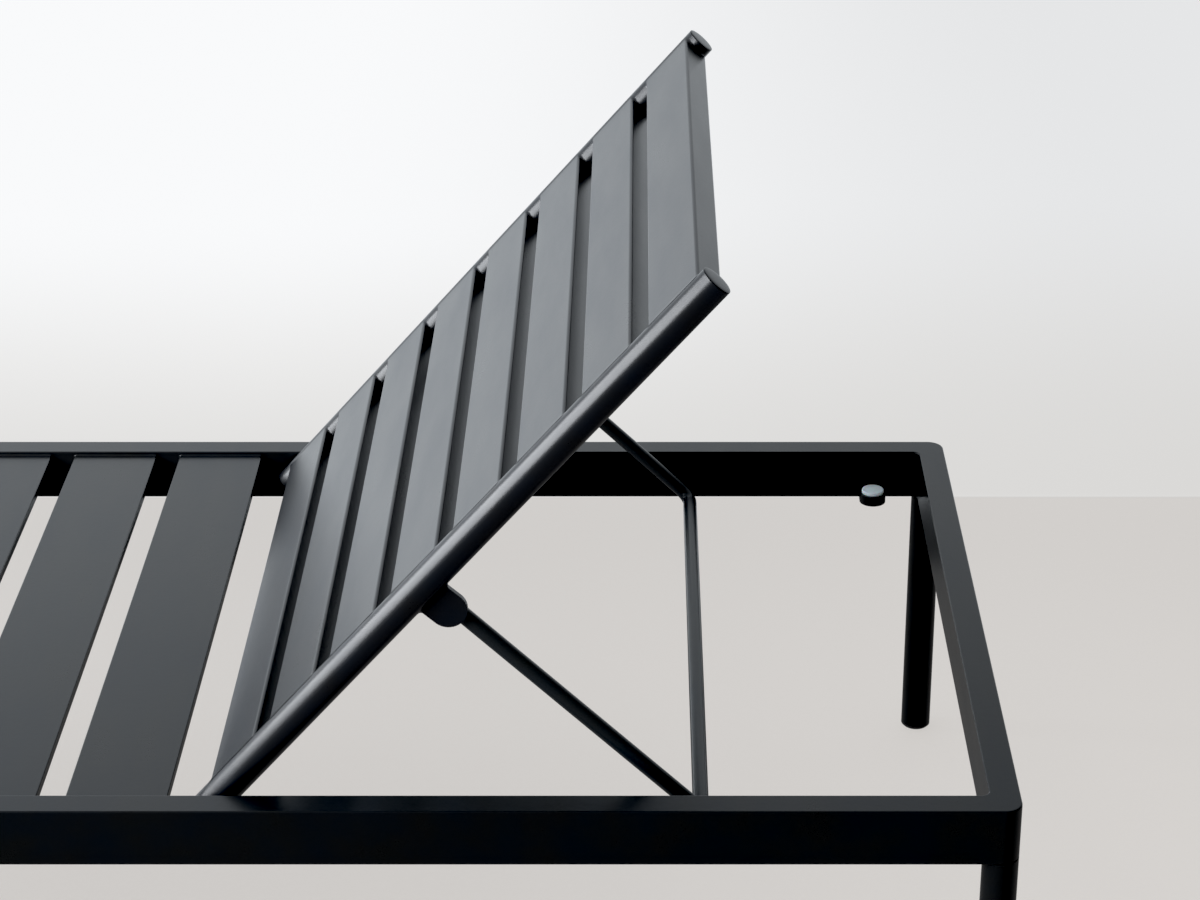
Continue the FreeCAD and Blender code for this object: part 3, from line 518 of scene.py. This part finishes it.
# ----------------------------------------------------------------------------------------------
# Pieces
# ----------------------------------------------------------------------------------------------
class LOUNGER_OT_frame(bpy.types.Operator):
    """Coats the rails, corners, legs, racks and rest tabs, and welds the legs"""

    bl_idname = "lounger.frame"
    bl_label = "Frame"

    def execute(self, context):
        coat = finish_of("frame_powder_coat", context.scene)
        give(nodes_like("side_rail", "head_rail", "foot_rail", "corner", "leg", "prop_rack",
                        "rest_tab", "rack_rivets", "tab_rivets"), coat)
        self.leg_welds(context.scene.lounger_welds, coat)
        return {"FINISHED"}

    def leg_welds(self, welds, coat):
        """Fillets on top of the legs, w (out . inward + start) / reach, that fade at the outside.

        Outside, the corner's own edge leaves a weld no room.
        """
        steps, start, reach, least = 96, 0.85, 1.6, 0.01
        angle = np.linspace(0, 2 * np.pi, steps, endpoint=False)
        out = np.stack([np.cos(angle), np.sin(angle), 0 * angle], -1)
        grids = []
        for leg in nodes_like("leg"):
            low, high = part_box(leg.name)
            middle = (low + high) / 2
            radius = (high.x - low.x) / 2
            joint = np.array([middle.x, middle.y, high.z]) + radius * out
            inward = np.array([-np.sign(middle.x), -np.sign(middle.y), 0])
            room = np.clip((out @ inward + start) / reach, least, 1)
            width = rippled(angle * radius, welds, welds.leg_width) * room
            grids.append(fillet(joint, np.array([0, 0, -1.0]), out, width))
        piece("leg_welds", grids, "frame", coat, rows_loop=True)


class LOUNGER_OT_seat(bpy.types.Operator):
    """Coats the seat slats and welds their ends to the side rails"""

    bl_idname = "lounger.seat"
    bl_label = "Seat slats"

    def execute(self, context):
        coat = finish_of("frame_powder_coat", context.scene)
        slats = nodes_like("seat_slat")
        give(slats, coat)
        welds = context.scene.lounger_welds
        steps = 160
        grids = []
        for slat in slats:
            low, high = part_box(slat.name)
            at, out, run = rounded_outline((low.x, low.z), (high.x, high.z), SEAT_CORNER, steps)
            width = rippled(run, welds, welds.seat_width)
            for _side, sign in SIDES:
                end = high.y if sign > 0 else low.y
                joint = np.stack([at[:, 0], np.full(len(at), end), at[:, 1]], -1)
                across = np.stack([out[:, 0], 0 * run, out[:, 1]], -1)
                grids.append(fillet(joint, np.array([0, -sign, 0.0]), across, width))
        piece("seat_slat_welds", grids, "frame", coat, rows_loop=True)
        return {"FINISHED"}


class LOUNGER_OT_back(bpy.types.Operator):
    """Coats the back's tubes, slats, ears and pins, and welds the slats and ears to the tubes"""

    bl_idname = "lounger.back"
    bl_label = "Back"

    def execute(self, context):
        coat = finish_of("back_powder_coat", context.scene)
        give(nodes_like("back_tube_left", "back_tube_right", "back_slat", "prop_ear", "prop_pin"),
             coat)
        welds = context.scene.lounger_welds
        low, high = extent_on_back("back_tube_right")
        tube, radius = (low[1] + high[1]) / 2, (high[1] - low[1]) / 2
        self.slat_welds(welds, coat, tube, radius)
        self.ear_welds(welds, coat, tube, radius)
        return {"FINISHED"}

    def slat_welds(self, welds, coat, tube, radius):
        """Fillets round the slats' ends, where y = Y - sqrt(R^2 - n^2) on the tube.

        Each starts and ends low on the tube's rear, tapers there as the root of the distance, and
        leans on the tube along the slat's outward direction laid into the tube's surface.
        """
        steps, lowest, taper_length = 400, -0.75 * radius, 3 * MM
        grids = []
        for slat in nodes_like("back_slat"):
            low, high = extent_on_back(slat.name)
            at, out, run = rounded_outline((low[0], low[2]), (high[0], high[2]), BACK_CORNER,
                                           steps)
            start = int(np.argmin(at[:, 1]))
            at, out = np.roll(at, -start, 0), np.roll(out, -start, 0)
            shown = at[:, 1] > lowest
            at, out, run = at[shown], out[shown], run[:shown.sum()]
            taper = np.clip(np.minimum(run, run[-1] - run) / taper_length, 0, 1) ** 0.5
            width = rippled(run, welds, welds.back_width) * taper
            for _side, sign in SIDES:
                rise = at[:, 1]
                deep = np.sqrt(radius ** 2 - rise ** 2)
                joint = np.stack([at[:, 0], sign * (tube - deep), rise], -1)
                normal = np.stack([0 * rise, -sign * deep, rise], -1) / radius
                outward = np.stack([out[:, 0], 0 * rise, out[:, 1]], -1)
                on_tube = outward - (outward * normal).sum(-1, keepdims=True) * normal
                on_tube /= np.linalg.norm(on_tube, axis=-1, keepdims=True)
                skin = fillet(joint, np.array([0, -sign, 0.0]), on_tube, width)
                grids.append(from_back(skin))
        piece("back_slat_welds", grids, "backrest", coat)

    def ear_welds(self, welds, coat, tube, radius):
        """Fillets round the ears' sections, where n = -sqrt(R^2 - y^2) on the tube."""
        steps = 300
        low, high = extent_on_back("prop_ear_right")
        at, out, run = rounded_outline((low[0], low[1] - tube), (high[0], high[1] - tube),
                                       EAR_CORNER, steps)
        width = rippled(run, welds, welds.ear_width)
        foot = at + out * width[:, None]
        grids = []
        for _side, sign in SIDES:
            joint = np.stack([at[:, 0], sign * (tube + at[:, 1]),
                              -np.sqrt(radius ** 2 - at[:, 1] ** 2)], -1)
            toe = np.stack([foot[:, 0], sign * (tube + foot[:, 1]),
                            -np.sqrt(radius ** 2 - foot[:, 1] ** 2)], -1)
            skin = fillet(joint, np.array([0, 0, -1.0]), (toe - joint) / width[:, None], width)
            grids.append(from_back(skin))
        piece("ear_welds", grids, "backrest", coat, rows_loop=True)


class LOUNGER_OT_prop(bpy.types.Operator):
    """Coats the bent rod and its catch pins"""

    bl_idname = "lounger.prop"
    bl_label = "Prop"

    def execute(self, context):
        give(nodes_like("prop_bail", "catch_pins"), finish_of("bail_powder_coat", context.scene))
        return {"FINISHED"}


class LOUNGER_OT_fittings(bpy.types.Operator):
    """Makes the tube caps, hinge screws and rest pads, and finishes the other small fittings"""

    bl_idname = "lounger.fittings"
    bl_label = "Caps, screws and pads"

    def execute(self, context):
        scene = context.scene
        fittings = scene.lounger_fittings
        give(nodes_like("foot_glide", "back_tube_caps", "hinge_spacers", "hinge_bushes"),
             finish_of("black_plastic", scene))
        give(nodes_like("hinge_washers", "hinge_inserts"), finish_of("stainless_steel", scene))
        self.caps(scene, fittings)
        self.screws(scene, fittings)
        self.pads(scene, fittings)
        return {"FINISHED"}

    def caps(self, scene, fittings):
        """Tube caps: a low dome on a short rim, r = R sin(t)^a and h = H (b + (1-b) cos(t)^c)."""
        rows, fit, flatness, rim, shoulder = 12, 0.999, 0.8, 0.25, 0.7
        low, high = extent_on_back("back_tube_right")
        tube, radius = (low[1] + high[1]) / 2, (high[1] - low[1]) / 2
        rise = extent_on_back("back_tube_caps")[1][0] - high[0]
        t = np.linspace(0, np.pi / 2, rows)
        r = np.concatenate([radius * fit * np.sin(t) ** flatness, [0.0]])
        h = np.concatenate([rise * (rim + (1 - rim) * np.cos(t) ** shoulder), [0.0]])
        grids = []
        for _side, sign in SIDES:
            for end, way in ((high[0], 1.0), (low[0], -1.0)):
                grids.append(from_back(turned(r, h, (end, sign * tube, 0), (way, 0, 0),
                                              fittings.facets)))
        made = piece("tube_end_caps", grids, "backrest", finish_of("back_powder_coat", scene))
        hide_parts("back_tube_caps")

    def screws(self, scene, fittings):
        """Hinge screws: a button head, r = R sqrt(1 - (flat h/H)^2), with a six-sided socket.

        At an angle a the socket's wall is at half its width over cos(a'), where a' runs from -30
        to 30 degrees on each flat.
        """
        shank, rise, flatness, brow, rows = 3 * MM, 3.3 * MM, 0.86, 0.9, 9
        chamfer, chamfer_share = 0.25 * MM, 0.05
        angle = np.arange(fittings.facets) * 2 * np.pi / fittings.facets
        across = np.mod(angle + np.pi / 6, np.pi / 3) - np.pi / 6
        flat = fittings.socket_width / 2 / np.cos(across)
        round_ = np.ones(fittings.facets)
        for side, sign in SIDES:
            low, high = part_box("hinge_bolt_" + side)
            middle, head = (low + high) / 2, (high.x - low.x) / 2
            near, far = sorted((abs(low.y), abs(high.y)))
            crown = np.linspace(0, brow, rows)
            dome = head * np.sqrt(1 - (flatness * crown) ** 2)
            outer = np.concatenate([[0.0, shank, shank, head], dome])
            radius = np.vstack([outer[:, None] * round_, flat + chamfer, flat, flat, 0 * round_])
            floor = near + fittings.socket_depth
            height = np.concatenate([[far, far, near + rise, near + rise],
                                     near + rise * (1 - crown),
                                     [near, near + chamfer_share * rise, floor, floor]])
            grid = turned(radius, height, (middle.x, 0, middle.z), (0, sign, 0), fittings.facets)
            made = piece("hinge_screw_" + side, [grid], "frame",
                         finish_of("stainless_steel", scene), sharp=30.0)
            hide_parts("hinge_bolt_" + side)

    def pads(self, scene, fittings):
        """Rest pads: a stem and a soft-rimmed disc with a low dome, z = Z - D (r/R)^2."""
        thick, stem, rim, edge, sag, rows = 4 * MM, 3 * MM, 1.1 * MM, 0.3 * MM, 0.45 * MM, 8
        t = np.linspace(0, np.pi / 2, rows)
        dome = np.linspace(1, 0, rows)[1:]
        for side, _sign in SIDES:
            low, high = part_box("rest_pad_" + side)
            middle, radius = (low + high) / 2, (high.x - low.x) / 2
            under, inner = high.z - thick, radius - rim
            r = np.concatenate([[0, stem, stem, radius - edge, radius], inner + rim * np.cos(t),
                                inner * dome])
            z = np.concatenate([[low.z, low.z, under, under, under + edge],
                                high.z - sag - rim + rim * np.sin(t), high.z - sag * dome ** 2])
            grid = turned(r, z, (middle.x, middle.y, 0), (0, 0, 1), fittings.facets)
            made = piece("rest_pad_dome_" + side, [grid], "frame", finish_of("pad_rubber", scene))
            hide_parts("rest_pad_" + side)


# ----------------------------------------------------------------------------------------------
# Stage
# ----------------------------------------------------------------------------------------------
def area_light(name, place, target, size, power, tint):
    """A rectangular soft light that looks at a point. The camera doesn't see the light itself."""
    light = bpy.data.lights.new(name, "AREA")
    light.shape = "RECTANGLE"
    light.size, light.size_y = size
    light.energy = power
    light.color = tint
    made = bpy.data.objects.new(name, light)
    made.location = place
    made.rotation_euler = (Vector(target) - Vector(place)).to_track_quat("-Z", "Y").to_euler()
    made.visible_camera = False
    bpy.context.scene.collection.objects.link(made)


def floor_material(stage):
    """Pale floor, mostly lit from within.

    Behind a thin dark seam, painted shade where the floor meets the backdrop, it whitens with the
    distance from the seam, most at the foot end, and cools where brightest: painted light. In
    front of the seam it scatters a little of the light that falls on it, less near the seam:
    painted shade that evens out the card's light. It is a little brighter towards the head end:
    painted light.
    """
    seam, seam_half, line_half, line_tone = stage.seam_place, 4 * MM, 5 * MM, 0.93
    head_end, foot_end = 1.5, 0.1
    rise_start, rise_end, foot_lead = seam + 0.03, seam + 1.15, 0.16
    cloud_size, fibre_size, fibre_height = 0.6, 4 * MM, 0.1 * MM
    cloud_tint, depth_tint = (1.01, 1.01, 1.01), (0.98, 1.0, 1.03)
    far_tone, foot_gain, matt_at_seam = 1.17, 0.05, 0.3

    made, start, place = new_material("floor")
    along, across = ordinate(place, 0), ordinate(place, 1)
    beyond = eased(across, seam - seam_half, seam + seam_half)
    cloud = noise(place, cloud_size, 3.0)
    fibre = noise(place, fibre_size, 2.0)
    foot = eased(along, head_end, foot_end)
    # Painted light: the backdrop whitens away from the seam and towards the foot end, and cools
    # where it is brightest.
    depth = eased(across + foot * foot_lead, rise_start, rise_end)
    # Painted light: the near floor is a little brighter towards the head end.
    near = scaled(tinted(cloud, stage.floor_colour, cloud_tint),
                  spread(fibre, 0.99, 1.01) * spread(foot, 1.06, 0.98))
    pale = tinted(depth, stage.far_colour, depth_tint)
    far = scaled(pale, far_tone + depth * spread(foot, 0.16, 0.38) + foot * foot_gain)
    mixed = start.node("ShaderNodeMix", {"data_type": "RGBA"},
                       {"Factor": beyond, "A": near, "B": far}, output=2)
    # Painted shade: a thin darker line along the seam, where the floor meets the backdrop.
    off = start.node("ShaderNodeMath", {"operation": "ABSOLUTE"}, {0: across - seam})
    line = eased(off, 0.0, line_half, line_tone, 1.0)
    # Painted shade: the floor scatters less near the seam, to even out the card's light there.
    seam_counter_shade = eased(across, 0.0, seam, 1.0, matt_at_seam) * (1.0 - beyond)
    return surface(made, start, {
        "Base Color": scaled(mixed, seam_counter_shade * stage.floor_matt), "Roughness": 0.9,
        "Emission Color": scaled(mixed, line), "Emission Strength": stage.floor_glow,
        "Normal": bumped(start, fibre, fibre_height)})


def card_material(stage):
    """Glowing white card: brighter towards the foot end, dimmer at its top and near the floor."""
    foot_tone, foot_low, foot_high, ground_tone = 0.8, 0.25, 0.65, 1.27
    least, most, tint = 0.25, 2.0, (0.90, 0.955, 1.0)
    made, start, place = new_material("bright_card")
    along, up = ordinate(place, 0), ordinate(place, 2)
    low = eased(up, foot_low, foot_high, foot_tone, 1.0)
    glow = (stage.card_strength - along * stage.card_fall[0]) * low
    glow = glow * (ground_tone - up * stage.card_fall[1])
    glow = start.node("ShaderNodeClamp", inputs={"Value": glow, "Min": least, "Max": most})
    shade = start.node("ShaderNodeVectorMath", {"operation": "SCALE"}, {0: tint, "Scale": glow})
    light = start.node("ShaderNodeEmission", inputs={"Color": shade, "Strength": 1.0})
    start.node("ShaderNodeOutputMaterial", inputs={"Surface": light})
    return made


def dark_material():
    """Black felt that keeps the card's light on one side."""
    made, start, place = new_material("card_back")
    felt, fluff, weave_size = (0.01, 0.01, 0.01), (1.2, 1.2, 1.2), 10 * MM
    weave = noise(place, weave_size)
    return surface(made, start, {
        "Base Color": scaled(tinted(weave, felt, fluff), weave), "Roughness": 1.0})


def sheet(name, points, finish):
    """A flat four-cornered sheet of the stage, from a 2 by 2 grid of points."""
    mesh = bpy.data.meshes.new(name)
    mesh.from_pydata(np.stack(points, -1).reshape(-1, 3), [], quads(1, 2, 2, False, False))
    mesh.materials.append(finish)
    made = bpy.data.objects.new(name, mesh)
    bpy.context.scene.collection.objects.link(made)
    return made


def upright(name, y, low, high, finish):
    """A wide sheet that stands along the lounger, unseen by the camera itself."""
    foot_end, head_end = -3.0, 3.6
    x, z = np.meshgrid([foot_end, head_end], [low, high], indexing="ij")
    sheet(name, (x, 0 * x + y, z), finish).visible_camera = False


class LOUNGER_OT_stage(bpy.types.Operator):
    """Lays the floor, hangs the soft lights and sets up the camera"""

    bl_idname = "lounger.stage"
    bl_label = "Floor, light and camera"

    def execute(self, context):
        scene = context.scene
        stage = scene.lounger_stage
        self.surroundings(stage)
        self.lights(scene, stage)
        self.camera(scene, stage)
        return {"FINISHED"}

    def surroundings(self, stage):
        """The floor, which reflections don't show, and the lit card with felt behind it."""
        reach, drop, card_place, felt_gap = 40.0, 0.2 * MM, 0.885, 5 * MM
        card_low, card_high, felt_margin = 0.0, 2.6, 0.1
        x, y = np.meshgrid([-reach, reach], [-reach, reach], indexing="ij")
        ground = sheet("floor", (x, y, 0 * x - drop), floor_material(stage))
        ground.visible_glossy = False
        upright("bright_card", card_place, card_low, card_high, card_material(stage))
        upright("card_back", card_place + felt_gap, card_low - felt_margin,
                card_high + felt_margin, dark_material())

    def lights(self, scene, stage):
        """Two soft lights, a dim room, and a tone curve whose black is a little raised."""
        area_light("top_light", place=(0.4, 0.45, 2.0), target=(0.4, 0.5, 0), size=(4.4, 1.5),
                   power=stage.top_power, tint=(1.0, 0.99, 0.975))
        area_light("window_light", place=(-2.2, -0.85, 1.62), target=(0.5, -0.3, 0.55),
                   size=(3.9, 1.35), power=stage.window_power, tint=(0.93, 0.96, 1.0))
        world = bpy.data.worlds.new("room")
        world.use_nodes = True
        back = world.node_tree.nodes["Background"]
        back.inputs["Color"].default_value = (*stage.room_colour, 1)
        back.inputs["Strength"].default_value = stage.room_strength
        scene.world = world
        scene.view_settings.view_transform = "Standard"
        scene.view_settings.use_curve_mapping = True
        scene.view_settings.curve_mapping.black_level = (stage.black_level,) * 3
        scene.view_settings.curve_mapping.update()

    def camera(self, scene, stage):
        """A long lens that looks down across the lounger."""
        camera = bpy.data.cameras.new("camera")
        camera.sensor_width = 36.0
        camera.lens = stage.lens
        camera.shift_x = stage.shift
        camera.clip_start = 50 * MM
        camera.dof.use_dof = False
        eye = bpy.data.objects.new("camera", camera)
        eye.location = stage.camera_place
        eye.rotation_euler = (math.pi / 2 - stage.pitch, 0, 0)
        scene.collection.objects.link(eye)
        scene.camera = eye


class LOUNGER_PT_panel(bpy.types.Panel):
    """Sizes, colours and buttons of the sun lounger"""

    bl_label = "Sun lounger"
    bl_idname = "LOUNGER_PT_panel"
    bl_space_type = "VIEW_3D"
    bl_region_type = "UI"
    bl_category = "Lounger"

    def draw(self, context):
        for title, (held, group) in GROUPS.items():
            box = self.layout.box()
            box.label(text=title)
            for name in group.__annotations__:
                box.prop(getattr(context.scene, held), name)
        for maker in OPERATORS:
            self.layout.operator(maker.bl_idname)


GROUPS = {
    "Powder coat": ("lounger_coat", LoungerCoat),
    "Welds": ("lounger_welds", LoungerWelds),
    "Fittings": ("lounger_fittings", LoungerFittings),
    "Stage": ("lounger_stage", LoungerStage),
}
OPERATORS = (LOUNGER_OT_frame, LOUNGER_OT_seat, LOUNGER_OT_back, LOUNGER_OT_prop,
             LOUNGER_OT_fittings, LOUNGER_OT_stage)


def register():
    for held, group in GROUPS.values():
        bpy.utils.register_class(group)
        setattr(bpy.types.Scene, held, PointerProperty(type=group))
    for maker in (*OPERATORS, LOUNGER_PT_panel):
        bpy.utils.register_class(maker)


def unregister():
    for maker in (LOUNGER_PT_panel, *reversed(OPERATORS)):
        bpy.utils.unregister_class(maker)
    for held, group in reversed(GROUPS.values()):
        delattr(bpy.types.Scene, held)
        bpy.utils.unregister_class(group)


def main():
    register()
    bpy.ops.lounger.frame()
    bpy.ops.lounger.seat()
    bpy.ops.lounger.back()
    bpy.ops.lounger.prop()
    bpy.ops.lounger.fittings()
    bpy.ops.lounger.stage()


if __name__ == "__main__":
    main()
